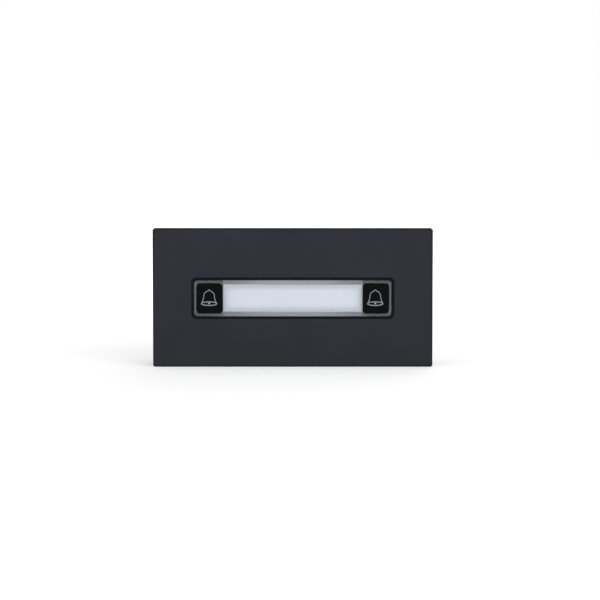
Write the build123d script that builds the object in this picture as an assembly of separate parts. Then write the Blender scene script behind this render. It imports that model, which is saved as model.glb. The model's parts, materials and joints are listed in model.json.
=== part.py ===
"""Intercom button module: a coated face plate with a lit name strip between two bell keys.

Millimetres. X runs to the right, Z up and Y into the wall, so the face looks along -Y.
The origin is the centre of the plane on which the plate's rim seats in its door-station frame.
"""

import os
from typing import NamedTuple

from build123d import *


class Chip(NamedTuple):
    """A moulded package: its place in X and Z, its size, and its rows of leads (turned about Y)."""

    place: tuple
    length: float
    width: float
    height: float
    leads: int
    pitch: float
    turns: tuple


# Face plate, an aluminium tray open at the back
PLATE_WIDTH = 114.0
PLATE_HEIGHT = 56.5
PLATE_DEPTH = 6.0
FACE_THICKNESS = 2.2
RIM_WALL = 2.0
PLATE_CORNER = 0.9
PLATE_EDGE = 0.6
SLOT_CORNER = 2.1
SLOT_EDGE = 0.5
COLLAR_WALL = 1.2
COLLAR_HEIGHT = 1.4

# Clear name strip that fills the slot of the plate, a little below the plate's middle
STRIP_DROP = 0.25
BAR_MARGIN = 16.8
BAR_HEIGHT = 14.7
BAR_CORNER = 1.6
BAR_EDGE = 0.3
BAR_GAP = 1.05
BAR_RECESS = 0.3
LENS_WALL = 1.2
FLANGE_OVERLAP = 2.0
FLANGE_THICKNESS = 1.7

# Rubber ring around the strip
SEAL_RECESS = 0.8
SEAL_SKIRT = 0.6
SEAL_FIT = 0.05

# Bell keys
KEY_WIDTH = 10.65
KEY_MARGIN = 1.25
KEY_END_MARGIN = 1.05
KEY_CORNER = 1.6
KEY_EDGE = 0.25
KEY_FRONT_WALL = 1.4
KEY_SIDE_WALL = 1.0
KEY_CLEARANCE = 0.15
KEY_TRAVEL = 0.5
LIP_REACH = 0.85
LIP_CLEARANCE = 0.2
STEM_RADIUS = 2.0
STEM_RIB = 0.8

# Name label and its light
LABEL_MARGIN = 1.8
LABEL_CORNER = 0.4
LABEL_FIT = 0.1
LABEL_THICKNESS = 0.3
LABEL_AIR = 0.1
MEMBRANE_THICKNESS = 0.5
PAD_RADIUS = 2.2
LIGHT_BOX_DEPTH = 6.0
LIGHT_LEDGE = 1.2
CHAMBER_TAPER = 0.8
SWITCH_WELL_GAP = 0.3
LED_COUNT = 6
LED_LENGTH = 3.5
LED_WIDTH = 2.8
LED_HEIGHT = 1.9
LED_RIM = 0.5
LED_CUP_DEPTH = 0.6

# Tactile switches behind the keys
SWITCH_WIDTH = 6.0
SWITCH_BASE_HEIGHT = 3.3
SWITCH_COVER_SHEET = 0.2
SWITCH_COVER_SKIRT = 1.2
SWITCH_CAVITY_RADIUS = 2.3
SWITCH_CAVITY_DEPTH = 1.9
PLUNGER_RADIUS = 1.7
PLUNGER_FLANGE_RADIUS = 2.1
PLUNGER_RISE = 1.5
PLUNGER_CLEARANCE = 0.1
DOME_RADIUS = 2.0
DOME_HEIGHT = 0.7
DOME_SHEET = 0.12
DOME_GAP = 0.03
TERMINAL_SHEET = 0.2
TERMINAL_WIDTH = 0.7
TERMINAL_RISE = 1.0
TERMINAL_FOOT = 1.4
TERMINAL_PITCH = 4.5

# Circuit board and the screws that clamp the stack to the plate
BOARD_THICKNESS = 1.6
BOARD_CORNER = 1.5
BOARD_TOWER_GAP = 0.9
BOARD_EDGE_GAP = 1.9
BOARD_SCREW_INSET_X = 4.0
BOARD_SCREW_INSET_Z = 5.0
BOARD_SCREW_RADIUS = 1.25
BOARD_SCREW_LENGTH = 8.0
BOARD_SCREW_HEAD_RADIUS = 2.25
BOARD_SCREW_HEAD_HEIGHT = 1.7
BOARD_BOSS_RADIUS = 2.75
EAR_THICKNESS = 2.0
EAR_RADIUS = 3.6

# Bus sockets on the back of the board
SOCKET_LENGTH = 12.4
SOCKET_WIDTH = 6.2
SOCKET_HEIGHT = 7.4
SOCKET_WALL = 0.8
SOCKET_FLOOR = 2.2
SOCKET_KEYWAY = 1.6
SOCKET_SPACING = 23.0
SOCKET_INSET = 8.0
SOCKET_RISE = 2.0
PIN_COUNT = 4
PIN_PITCH = 2.5
PIN_WIDTH = 0.64
PIN_LENGTH = 4.0
PIN_TAIL = 1.0
PIN_POINT = 0.16
PIN_HOLE_RADIUS = 0.55

# Components on the back of the board; an inset is counted from the nearer side edge, a drop from the top
LEAD_SHEET = 0.15
LEAD_REACH = 0.45
LEAD_FOOT = 0.5
LEAD_SHARE = 0.4
PACKAGE_STANDOFF = 0.1
PACKAGE_EDGE = 0.2
CONTROLLER_Z = 6.0
CONTROLLER_WIDTH = 7.0
CONTROLLER_HEIGHT = 1.4
CONTROLLER_LEAD_COUNT = 8
CONTROLLER_PITCH = 0.8
TRANSCEIVER_INSET = 27.0
TRANSCEIVER_LENGTH = 3.9
TRANSCEIVER_WIDTH = 4.9
TRANSCEIVER_HEIGHT = 1.5
TRANSCEIVER_LEAD_COUNT = 4
TRANSCEIVER_PITCH = 1.27
REGULATOR_INSET = 27.0
REGULATOR_DROP = 9.0
REGULATOR_LENGTH = 3.5
REGULATOR_WIDTH = 6.5
REGULATOR_HEIGHT = 1.6
REGULATOR_LEAD_COUNT = 3
REGULATOR_PITCH = 2.3
INDUCTOR_INSET = 18.0
INDUCTOR_WIDTH = 5.0
INDUCTOR_HEIGHT = 2.6
INDUCTOR_CORNER = 1.0
INDUCTOR_DRUM_RADIUS = 2.1
INDUCTOR_DRUM_HEIGHT = 0.4
CAPACITOR_INSET = 10.0
CAPACITOR_Z = 3.0
CAPACITOR_RADIUS = 3.15
CAPACITOR_HEIGHT = 4.5
CAPACITOR_EDGE = 0.4
CAPACITOR_FOOT_WIDTH = 6.6
CAPACITOR_FOOT_HEIGHT = 0.9
CAPACITOR_FOOT_CORNER = 0.8
DIODE_INSET = 14.0
DIODE_Z = 8.0
DIODE_LENGTH = 4.3
DIODE_WIDTH = 2.6
DIODE_HEIGHT = 2.1
DIODE_END_LENGTH = 0.4
DIODE_END_WIDTH = 1.5
DIODE_END_HEIGHT = 1.0
CRYSTAL_X = 9.5
CRYSTAL_LENGTH = 5.0
CRYSTAL_WIDTH = 3.2
CRYSTAL_HEIGHT = 1.0
CRYSTAL_CORNER = 0.6
CRYSTAL_EDGE = 0.15
PASSIVE_LENGTH = 1.6
PASSIVE_WIDTH = 0.8
PASSIVE_HEIGHT = 0.5
PASSIVE_PITCH = 3.0
PASSIVE_COUNT = 4
PASSIVE_DROP = 7.0
PASSIVE_ROW_PITCH = 2.5
PASSIVE_CHIP_GAP = 0.5

# Rear housing, a moulded ring behind the plate, and the cover that closes it
MODULE_DEPTH = 28.0
HOUSING_GAP = 0.3
HOUSING_WALL = 2.0
COVER_THICKNESS = 2.0
COVER_BOSS = 2.0
COVER_FIT = 0.2
HOUSING_CORNER = 2.5
COVER_EDGE = 1.4
GASKET_THICKNESS = 0.8
GASKET_WIDTH = 1.6
GASKET_INSET = 0.2
TOWER_RADIUS = 3.9
TOWER_FOOT = 4.8
PLATE_BOSS_RADIUS = 3.2
WELL_LENGTH = 46.0
WELL_HEIGHT = 14.0
WELL_WALL = 1.4
WELL_CORNER = 2.0
NOTCH_WIDTH = 20.0
NOTCH_DEPTH = 5.0
SOCKET_WINDOW_GAP = 0.25

# Screws and threaded inserts in the rear housing; all screws take the same driver
HOUSING_SCREW_RADIUS = 1.5
HOUSING_SCREW_BITE = 3.4
HOUSING_SCREW_HEAD_RADIUS = 2.75
HOUSING_SCREW_HEAD_HEIGHT = 2.0
SCREW_HEAD_CHAMFER = 0.6
RECESS_SPAN = 3.0
RECESS_WIDTH = 0.65
RECESS_DEPTH = 1.0
HEAD_SINK = 0.5
HEAD_CLEARANCE = 0.35
SCREW_HOLE_CLEARANCE = 0.2
THREAD_FIT = 0.05
SCREW_END_GAP = 0.6
INSERT_RADIUS = 2.3
INSERT_BORE = 1.25
INSERT_LENGTH = 6.0
INSERT_GROOVE = 0.35
INSERT_GROOVE_LENGTH = 2.0
INSERT_BOSS_RADIUS = 3.6
INSERT_FLOOR = 1.5

# Depths, from the face inwards
SEAT_Y = 0.0
FRONT_Y = SEAT_Y - PLATE_DEPTH
FACE_BACK_Y = FRONT_Y + FACE_THICKNESS
LENS_FRONT_Y = FRONT_Y + BAR_RECESS
POCKET_FRONT_Y = LENS_FRONT_Y + LENS_WALL
LABEL_FRONT_Y = POCKET_FRONT_Y + LABEL_AIR
LABEL_BACK_Y = LABEL_FRONT_Y + LABEL_THICKNESS
FLANGE_FRONT_Y = FACE_BACK_Y + SEAL_SKIRT
FLANGE_BACK_Y = FLANGE_FRONT_Y + FLANGE_THICKNESS
MEMBRANE_BACK_Y = FLANGE_BACK_Y + MEMBRANE_THICKNESS
BOARD_FRONT_Y = MEMBRANE_BACK_Y + LIGHT_BOX_DEPTH
BOARD_BACK_Y = BOARD_FRONT_Y + BOARD_THICKNESS
EAR_FRONT_Y = BOARD_FRONT_Y - EAR_THICKNESS
SWITCH_FRONT_Y = BOARD_FRONT_Y - SWITCH_BASE_HEIGHT
SWITCH_COVER_FRONT_Y = SWITCH_FRONT_Y - SWITCH_COVER_SHEET
PLUNGER_FRONT_Y = SWITCH_COVER_FRONT_Y - PLUNGER_RISE
DOME_FOOT_Y = SWITCH_FRONT_Y + SWITCH_CAVITY_DEPTH
PLUNGER_BACK_Y = DOME_FOOT_Y - DOME_HEIGHT - DOME_GAP
HOUSING_FRONT_Y = FACE_BACK_Y + GASKET_THICKNESS
HOUSING_BACK_Y = FRONT_Y + MODULE_DEPTH
COVER_FRONT_Y = HOUSING_BACK_Y - COVER_THICKNESS
TOWER_BACK_Y = COVER_FRONT_Y - COVER_BOSS
TOWER_FRONT_Y = FACE_BACK_Y + TOWER_FOOT
SOCKET_BACK_Y = BOARD_BACK_Y + SOCKET_HEIGHT
WELL_BACK_Y = SOCKET_BACK_Y - SOCKET_RISE
WELL_FRONT_Y = WELL_BACK_Y - WELL_WALL
SCREW_SEAT_Y = HOUSING_BACK_Y - HEAD_SINK - HOUSING_SCREW_HEAD_HEIGHT

# Outlines that several pieces share
BAR_WIDTH = PLATE_WIDTH - 2 * BAR_MARGIN
SLOT_WIDTH = BAR_WIDTH + 2 * BAR_GAP
SLOT_HEIGHT = BAR_HEIGHT + 2 * BAR_GAP
FLANGE_WIDTH = SLOT_WIDTH + 2 * FLANGE_OVERLAP
FLANGE_HEIGHT = SLOT_HEIGHT + 2 * FLANGE_OVERLAP
FLANGE_CORNER = SLOT_CORNER
KEY_HEIGHT = BAR_HEIGHT - 2 * KEY_MARGIN
KEY_X = BAR_WIDTH / 2 - KEY_END_MARGIN - KEY_WIDTH / 2
LIP_SPAN = KEY_HEIGHT + 2 * LIP_REACH
LIP_THICKNESS = FLANGE_THICKNESS - KEY_TRAVEL - LIP_CLEARANCE
POCKET_LENGTH = 2 * (KEY_X - KEY_WIDTH / 2 - KEY_CLEARANCE)
POCKET_HEIGHT = BAR_HEIGHT - 2 * LABEL_MARGIN
LABEL_LENGTH = POCKET_LENGTH - 2 * LABEL_FIT
LABEL_HEIGHT = POCKET_HEIGHT - 2 * LABEL_FIT
CHAMBER_LENGTH = LABEL_LENGTH - 2 * LIGHT_LEDGE
CHAMBER_HEIGHT = LABEL_HEIGHT - 2 * LIGHT_LEDGE
CAVITY_WIDTH = PLATE_WIDTH - 2 * RIM_WALL
CAVITY_HEIGHT = PLATE_HEIGHT - 2 * RIM_WALL
HOUSING_WIDTH = CAVITY_WIDTH - 2 * HOUSING_GAP
HOUSING_HEIGHT = CAVITY_HEIGHT - 2 * HOUSING_GAP
INNER_WIDTH = HOUSING_WIDTH - 2 * HOUSING_WALL
INNER_HEIGHT = HOUSING_HEIGHT - 2 * HOUSING_WALL
TOWER_X = INNER_WIDTH / 2 - TOWER_RADIUS
TOWER_Z = INNER_HEIGHT / 2 - TOWER_RADIUS
INSERT_X = INNER_WIDTH / 2 - INSERT_BOSS_RADIUS - COVER_FIT
BOARD_WIDTH = 2 * (TOWER_X - TOWER_RADIUS - BOARD_TOWER_GAP)
BOARD_HEIGHT = INNER_HEIGHT - 2 * BOARD_EDGE_GAP
BOARD_SCREW_X = BOARD_WIDTH / 2 - BOARD_SCREW_INSET_X
BOARD_SCREW_Z = BOARD_HEIGHT / 2 - BOARD_SCREW_INSET_Z
SOCKET_Z = SOCKET_INSET - BOARD_HEIGHT / 2

# Places of the components on the board
CONTROLLER_AT = (0.0, CONTROLLER_Z)
TRANSCEIVER_AT = (TRANSCEIVER_INSET - BOARD_WIDTH / 2, CONTROLLER_Z)
REGULATOR_Z = BOARD_HEIGHT / 2 - REGULATOR_DROP
REGULATOR_AT = (BOARD_WIDTH / 2 - REGULATOR_INSET, REGULATOR_Z)
INDUCTOR_AT = (BOARD_WIDTH / 2 - INDUCTOR_INSET, REGULATOR_Z)
CAPACITOR_AT = (BOARD_WIDTH / 2 - CAPACITOR_INSET, CAPACITOR_Z)
DIODE_AT = (DIODE_INSET - BOARD_WIDTH / 2, DIODE_Z)
CRYSTAL_AT = (CRYSTAL_X, CONTROLLER_Z)
PASSIVE_COLUMNS = [TRANSCEIVER_AT[0], CONTROLLER_AT[0]]
PASSIVE_TOP_Z = BOARD_HEIGHT / 2 - PASSIVE_DROP
CONTROLLER_LEADS_TOP_Z = CONTROLLER_Z + CONTROLLER_WIDTH / 2 + LEAD_REACH + LEAD_FOOT
PASSIVE_LOWEST_Z = CONTROLLER_LEADS_TOP_Z + PASSIVE_CHIP_GAP + PASSIVE_WIDTH / 2
PASSIVE_ROW_COUNT = 1 + int((PASSIVE_TOP_Z - PASSIVE_LOWEST_Z) / PASSIVE_ROW_PITCH)
PASSIVE_ROWS = [PASSIVE_TOP_Z - row * PASSIVE_ROW_PITCH for row in range(PASSIVE_ROW_COUNT)]
TWO_SIDES = (0, 180)
FOUR_SIDES = (0, 90, 180, 270)
CONTROLLER = Chip(
    CONTROLLER_AT,
    CONTROLLER_WIDTH,
    CONTROLLER_WIDTH,
    CONTROLLER_HEIGHT,
    CONTROLLER_LEAD_COUNT,
    CONTROLLER_PITCH,
    FOUR_SIDES,
)
TRANSCEIVER = Chip(
    TRANSCEIVER_AT,
    TRANSCEIVER_LENGTH,
    TRANSCEIVER_WIDTH,
    TRANSCEIVER_HEIGHT,
    TRANSCEIVER_LEAD_COUNT,
    TRANSCEIVER_PITCH,
    TWO_SIDES,
)
REGULATOR = Chip(
    REGULATOR_AT,
    REGULATOR_LENGTH,
    REGULATOR_WIDTH,
    REGULATOR_HEIGHT,
    REGULATOR_LEAD_COUNT,
    REGULATOR_PITCH,
    TWO_SIDES,
)

# Pieces that come in pairs or fours
SIDES = {"left": -1, "right": 1}
CORNERS = [(x, z) for x in (-1, 1) for z in (-1, 1)]
TOWER_PLACES = [(x * TOWER_X, z * TOWER_Z) for x, z in CORNERS]
BOARD_SCREW_PLACES = [(x * BOARD_SCREW_X, z * BOARD_SCREW_Z) for x, z in CORNERS]
INSERT_PLACES = [(x * INSERT_X, 0) for x in (-1, 1)]
LED_PITCH = LABEL_LENGTH / LED_COUNT

# Moves what lies behind the slot from the plate's middle to the strip's
TO_STRIP = Pos(0, 0, -STRIP_DROP)


def slab(outline, front, back):
    """An outline drawn in X and Z, made solid from depth front to depth back."""
    return extrude(Plane.XZ.offset(-back) * outline, amount=back - front)


def at_each(places, outline):
    """The same outline at each (x, z) place."""
    return Sketch() + [Pos(x, z) * outline for x, z in places]


def rounded(width, height, corner, grow=0.0):
    """A rounded rectangle, grown outwards by an even amount."""
    return RectangleRounded(width + 2 * grow, height + 2 * grow, corner + grow)


def in_line(count, pitch):
    """Evenly spaced positions, centred on zero."""
    return [(i - (count - 1) / 2) * pitch for i in range(count)]


def front_edges(solid):
    """The edges round the frontmost face."""
    return solid.faces().sort_by(Axis.Y)[0].edges()


def back_edges(solid):
    """The edges round the rearmost face."""
    return solid.faces().sort_by(Axis.Y)[-1].edges()


# Face plate


def front_plate():
    plate = slab(rounded(PLATE_WIDTH, PLATE_HEIGHT, PLATE_CORNER), FRONT_Y, SEAT_Y)
    plate = fillet(front_edges(plate), PLATE_EDGE)
    cavity_corner = HOUSING_CORNER + HOUSING_GAP
    plate -= slab(rounded(CAVITY_WIDTH, CAVITY_HEIGHT, cavity_corner), FACE_BACK_Y, SEAT_Y)
    plate -= TO_STRIP * slab(rounded(SLOT_WIDTH, SLOT_HEIGHT, SLOT_CORNER), FRONT_Y, FACE_BACK_Y)
    slot_rim = plate.faces().sort_by(Axis.Y)[0].inner_wires()[0]
    plate = fillet(slot_rim.edges(), SLOT_EDGE)
    plate += TO_STRIP * flange_collar()
    plate += slab(at_each(TOWER_PLACES, Circle(PLATE_BOSS_RADIUS)), FACE_BACK_Y, TOWER_FRONT_Y)
    plate += slab(at_each(BOARD_SCREW_PLACES, Circle(BOARD_BOSS_RADIUS)), FACE_BACK_Y, EAR_FRONT_Y)
    for places, radius, end in (
        (TOWER_PLACES, HOUSING_SCREW_RADIUS, TOWER_FRONT_Y - HOUSING_SCREW_BITE),
        (BOARD_SCREW_PLACES, BOARD_SCREW_RADIUS, BOARD_BACK_Y - BOARD_SCREW_LENGTH),
    ):
        pilot = at_each(places, Circle(radius + THREAD_FIT))
        plate -= slab(pilot, end - SCREW_END_GAP, max(TOWER_FRONT_Y, EAR_FRONT_Y))
    return plate


def flange_collar():
    """A low wall on the back of the plate that centres the flange of the name strip."""
    inner = rounded(FLANGE_WIDTH, FLANGE_HEIGHT, FLANGE_CORNER, LABEL_FIT)
    outer = rounded(FLANGE_WIDTH, FLANGE_HEIGHT, FLANGE_CORNER, LABEL_FIT + COLLAR_WALL)
    return slab(outer - inner, FACE_BACK_Y, FACE_BACK_Y + COLLAR_HEIGHT)


def lens_seal():
    """Rubber ring: a lip in the slot, and a skirt clamped behind the plate."""
    hole = rounded(BAR_WIDTH, BAR_HEIGHT, BAR_CORNER, SEAL_FIT)
    lip = rounded(SLOT_WIDTH, SLOT_HEIGHT, SLOT_CORNER, -SEAL_FIT) - hole
    skirt = rounded(FLANGE_WIDTH, FLANGE_HEIGHT, FLANGE_CORNER) - hole
    return slab(lip, FRONT_Y + SEAL_RECESS, FACE_BACK_Y) + slab(skirt, FACE_BACK_Y, FLANGE_FRONT_Y)


# Name strip and keys


def nameplate_lens():
    """Clear strip with a flange behind the plate, a window for each key and the label's pocket,
    which opens into both windows."""
    bar = slab(rounded(BAR_WIDTH, BAR_HEIGHT, BAR_CORNER), LENS_FRONT_Y, FLANGE_FRONT_Y)
    lens = fillet(front_edges(bar), BAR_EDGE)
    lens += slab(rounded(FLANGE_WIDTH, FLANGE_HEIGHT, FLANGE_CORNER), FLANGE_FRONT_Y, FLANGE_BACK_Y)
    pocket = Rectangle(POCKET_LENGTH + KEY_WIDTH, POCKET_HEIGHT)
    lens -= slab(pocket, POCKET_FRONT_Y, FLANGE_BACK_Y)
    window = rounded(KEY_WIDTH, KEY_HEIGHT, KEY_CORNER, KEY_CLEARANCE)
    lip_seat = Rectangle(KEY_WIDTH + 2 * KEY_CLEARANCE, LIP_SPAN + 2 * KEY_CLEARANCE)
    for side in SIDES.values():
        lens -= slab(Pos(side * KEY_X, 0) * window, LENS_FRONT_Y, FLANGE_BACK_Y)
        lens -= slab(Pos(side * KEY_X, 0) * lip_seat, FLANGE_FRONT_Y, FLANGE_BACK_Y)
    return lens


def name_label():
    return slab(rounded(LABEL_LENGTH, LABEL_HEIGHT, LABEL_CORNER), LABEL_FRONT_Y, LABEL_BACK_Y)


def label_diffuser():
    """Opal plate that spreads the light behind the label and presses it to the clear wall."""
    return slab(rounded(LABEL_LENGTH, LABEL_HEIGHT, LABEL_CORNER), LABEL_BACK_Y, FLANGE_BACK_Y)


def key_cap(side):
    """Hollow key with a lip above and below that keeps it in its window, and a ribbed stem."""
    skirt_back = FLANGE_FRONT_Y + LIP_THICKNESS
    cap = slab(rounded(KEY_WIDTH, KEY_HEIGHT, KEY_CORNER), FRONT_Y, skirt_back)
    cap = fillet(front_edges(cap), KEY_EDGE)
    cap += slab(Rectangle(KEY_WIDTH, LIP_SPAN), FLANGE_FRONT_Y, skirt_back)
    hollow_front = FRONT_Y + KEY_FRONT_WALL
    inner_width = KEY_WIDTH - 2 * KEY_SIDE_WALL
    inner_height = KEY_HEIGHT - 2 * KEY_SIDE_WALL
    cap -= slab(Rectangle(inner_width, inner_height), hollow_front, skirt_back)
    cap += slab(Rectangle(inner_width, STEM_RIB), hollow_front, skirt_back)
    cap += slab(Rectangle(STEM_RIB, inner_height), hollow_front, skirt_back)
    cap += slab(Circle(STEM_RADIUS), hollow_front, FLANGE_BACK_Y)
    return Pos(side * KEY_X, 0, 0) * cap


# Light stack between the name strip and the board


def seal_membrane():
    """Silicone sheet clamped round the keys, with a pad on each switch and an opening for the light."""
    sheet = rounded(FLANGE_WIDTH, FLANGE_HEIGHT, FLANGE_CORNER)
    sheet -= Rectangle(CHAMBER_LENGTH, CHAMBER_HEIGHT)
    pads = at_each([(side * KEY_X, 0) for side in SIDES.values()], Circle(PAD_RADIUS))
    return slab(sheet, FLANGE_BACK_Y, MEMBRANE_BACK_Y) + slab(pads, MEMBRANE_BACK_Y, PLUNGER_FRONT_Y)


def light_box():
    """White frame: a tapered light chamber behind the label, a well round each switch, and screw ears."""
    outline = rounded(FLANGE_WIDTH, FLANGE_HEIGHT, FLANGE_CORNER)
    box = TO_STRIP * slab(outline, MEMBRANE_BACK_Y, BOARD_FRONT_Y)
    for x, z in BOARD_SCREW_PLACES:
        ear = Pos(x, z) * Circle(EAR_RADIUS) + Pos(x, z / 2) * Rectangle(2 * EAR_RADIUS, abs(z))
        box += slab(ear, EAR_FRONT_Y, BOARD_FRONT_Y)
    box -= TO_STRIP * loft(
        [
            Plane.XZ.offset(-MEMBRANE_BACK_Y) * Rectangle(CHAMBER_LENGTH, CHAMBER_HEIGHT),
            Plane.XZ.offset(-BOARD_FRONT_Y)
            * Rectangle(CHAMBER_LENGTH - CHAMBER_TAPER, CHAMBER_HEIGHT - 2 * CHAMBER_TAPER),
        ]
    )
    well = rounded(KEY_WIDTH, LIP_SPAN, KEY_CORNER, SWITCH_WELL_GAP)
    for side in SIDES.values():
        box -= TO_STRIP * slab(Pos(side * KEY_X, 0) * well, MEMBRANE_BACK_Y, BOARD_FRONT_Y)
    holes = at_each(BOARD_SCREW_PLACES, Circle(BOARD_SCREW_RADIUS + SCREW_HOLE_CLEARANCE))
    return box - slab(holes, EAR_FRONT_Y, BOARD_FRONT_Y)


def backlight_leds():
    """A row of lamps with a shallow cup each, under the label."""
    lamps = []
    for x in in_line(LED_COUNT, LED_PITCH):
        lamp_front = BOARD_FRONT_Y - LED_HEIGHT
        lamp = slab(Rectangle(LED_LENGTH, LED_WIDTH), lamp_front, BOARD_FRONT_Y)
        cup = Rectangle(LED_LENGTH - 2 * LED_RIM, LED_WIDTH - 2 * LED_RIM)
        lamp -= slab(cup, lamp_front, lamp_front + LED_CUP_DEPTH)
        lamps.append(Pos(x, 0, 0) * lamp)
    return Compound(lamps)


# Switches


def switch_base(side):
    base = slab(Rectangle(SWITCH_WIDTH, SWITCH_WIDTH), SWITCH_FRONT_Y, BOARD_FRONT_Y)
    base -= slab(Circle(SWITCH_CAVITY_RADIUS), SWITCH_FRONT_Y, DOME_FOOT_Y)
    return Pos(side * KEY_X, 0, 0) * base


def switch_cover(side):
    """Stamped sheet over the base, folded down at its left and right."""
    span = SWITCH_WIDTH + 2 * SWITCH_COVER_SHEET
    cover = slab(Rectangle(span, SWITCH_WIDTH), SWITCH_COVER_FRONT_Y, SWITCH_FRONT_Y + SWITCH_COVER_SKIRT)
    cover -= slab(Rectangle(SWITCH_WIDTH, SWITCH_WIDTH), SWITCH_FRONT_Y, SWITCH_FRONT_Y + SWITCH_COVER_SKIRT)
    cover -= slab(Circle(PLUNGER_RADIUS + PLUNGER_CLEARANCE), SWITCH_COVER_FRONT_Y, SWITCH_FRONT_Y)
    return Pos(side * KEY_X, 0, 0) * cover


def switch_plunger(side):
    plunger = slab(Circle(PLUNGER_RADIUS), PLUNGER_FRONT_Y, PLUNGER_BACK_Y)
    flange = slab(Circle(PLUNGER_FLANGE_RADIUS), SWITCH_FRONT_Y + DOME_GAP, PLUNGER_BACK_Y)
    return Pos(side * KEY_X, 0, 0) * (plunger + flange)


def switch_dome(side):
    """Snap disc that returns the plunger: a cap cut from a thin sphere."""
    ball = (DOME_RADIUS**2 + DOME_HEIGHT**2) / (2 * DOME_HEIGHT)
    centre = Pos(0, DOME_FOOT_Y - DOME_HEIGHT + ball, 0)
    shell = centre * Sphere(ball) - centre * Sphere(ball - DOME_SHEET)
    dome = shell & slab(Circle(SWITCH_CAVITY_RADIUS), DOME_FOOT_Y - DOME_HEIGHT, DOME_FOOT_Y)
    return Pos(side * KEY_X, 0, 0) * dome


def switch_terminals():
    """Four bent feet on each switch."""
    reach = SWITCH_WIDTH / 2
    rise = slab(
        Pos(reach + TERMINAL_SHEET / 2, 0) * Rectangle(TERMINAL_SHEET, TERMINAL_WIDTH),
        BOARD_FRONT_Y - TERMINAL_RISE,
        BOARD_FRONT_Y,
    )
    foot = slab(
        Pos(reach + TERMINAL_FOOT / 2, 0) * Rectangle(TERMINAL_FOOT, TERMINAL_WIDTH),
        BOARD_FRONT_Y - TERMINAL_SHEET,
        BOARD_FRONT_Y,
    )
    terminal = rise + foot
    feet = []
    for side in SIDES.values():
        for turn in (0, 180):
            for z in in_line(2, TERMINAL_PITCH):
                feet.append(Pos(side * KEY_X, 0, z) * Rot(0, turn, 0) * terminal)
    return Compound(feet)


# Circuit board and what is soldered to it


def pin_places(side):
    return [(side * SOCKET_SPACING / 2 + x, SOCKET_Z) for x in in_line(PIN_COUNT, PIN_PITCH)]


def circuit_board():
    board = slab(rounded(BOARD_WIDTH, BOARD_HEIGHT, BOARD_CORNER), BOARD_FRONT_Y, BOARD_BACK_Y)
    holes = at_each(BOARD_SCREW_PLACES, Circle(BOARD_SCREW_RADIUS + SCREW_HOLE_CLEARANCE))
    for side in SIDES.values():
        holes += at_each(pin_places(side), Circle(PIN_HOLE_RADIUS))
    return board - slab(holes, BOARD_FRONT_Y, BOARD_BACK_Y)


def on_board_back(place, solid):
    """Sets a solid that was drawn from y = 0 on the back of the board."""
    x, z = place
    return Pos(x, BOARD_BACK_Y, z) * solid


def gull_wing_lead(shoulder, width):
    """A lead that leaves a package at a shoulder height, bends down and ends in a foot on the board."""
    profile = Polygon(
        (0, shoulder),
        (LEAD_REACH, shoulder),
        (LEAD_REACH, LEAD_SHEET),
        (LEAD_REACH + LEAD_FOOT, LEAD_SHEET),
        (LEAD_REACH + LEAD_FOOT, 0),
        (LEAD_REACH - LEAD_SHEET, 0),
        (LEAD_REACH - LEAD_SHEET, shoulder - LEAD_SHEET),
        (0, shoulder - LEAD_SHEET),
        align=None,
    )
    return extrude(profile, amount=width / 2, both=True)


def chip_body(chip):
    body = slab(Rectangle(chip.length, chip.width), PACKAGE_STANDOFF, PACKAGE_STANDOFF + chip.height)
    return on_board_back(chip.place, chamfer(back_edges(body), PACKAGE_EDGE))


def chip_leads():
    """The bent leads of all three chips."""
    leads = []
    for chip in (CONTROLLER, TRANSCEIVER, REGULATOR):
        lead = gull_wing_lead(PACKAGE_STANDOFF + chip.height / 2, chip.pitch * LEAD_SHARE)
        for turn in chip.turns:
            half_span = (chip.width if turn % 180 else chip.length) / 2
            for along in in_line(chip.leads, chip.pitch):
                leads.append(on_board_back(chip.place, Rot(0, turn, 0) * Pos(half_span, 0, along) * lead))
    return Compound(leads)


def power_inductor():
    """Ferrite block with a round drum on top."""
    core = slab(rounded(INDUCTOR_WIDTH, INDUCTOR_WIDTH, INDUCTOR_CORNER), 0, INDUCTOR_HEIGHT)
    core += slab(Circle(INDUCTOR_DRUM_RADIUS), INDUCTOR_HEIGHT, INDUCTOR_HEIGHT + INDUCTOR_DRUM_HEIGHT)
    return on_board_back(INDUCTOR_AT, core)


def input_capacitor():
    """Can capacitor on a square foot."""
    foot = rounded(CAPACITOR_FOOT_WIDTH, CAPACITOR_FOOT_WIDTH, CAPACITOR_FOOT_CORNER)
    top = CAPACITOR_FOOT_HEIGHT + CAPACITOR_HEIGHT
    can = slab(Circle(CAPACITOR_RADIUS), CAPACITOR_FOOT_HEIGHT, top)
    can = chamfer(back_edges(can), CAPACITOR_EDGE)
    return on_board_back(CAPACITOR_AT, slab(foot, 0, CAPACITOR_FOOT_HEIGHT) + can)


def surge_diode():
    body = slab(Rectangle(DIODE_LENGTH, DIODE_WIDTH), PACKAGE_STANDOFF, PACKAGE_STANDOFF + DIODE_HEIGHT)
    solids = [chamfer(back_edges(body), PACKAGE_EDGE)]
    end = Rectangle(DIODE_END_LENGTH, DIODE_END_WIDTH)
    end_x = (DIODE_LENGTH + DIODE_END_LENGTH) / 2
    for side in SIDES.values():
        solids.append(slab(Pos(side * end_x, 0) * end, 0, DIODE_END_HEIGHT))
    return on_board_back(DIODE_AT, Compound(solids))


def crystal():
    can = slab(rounded(CRYSTAL_LENGTH, CRYSTAL_WIDTH, CRYSTAL_CORNER), 0, CRYSTAL_HEIGHT)
    return on_board_back(CRYSTAL_AT, chamfer(back_edges(can), CRYSTAL_EDGE))


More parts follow.
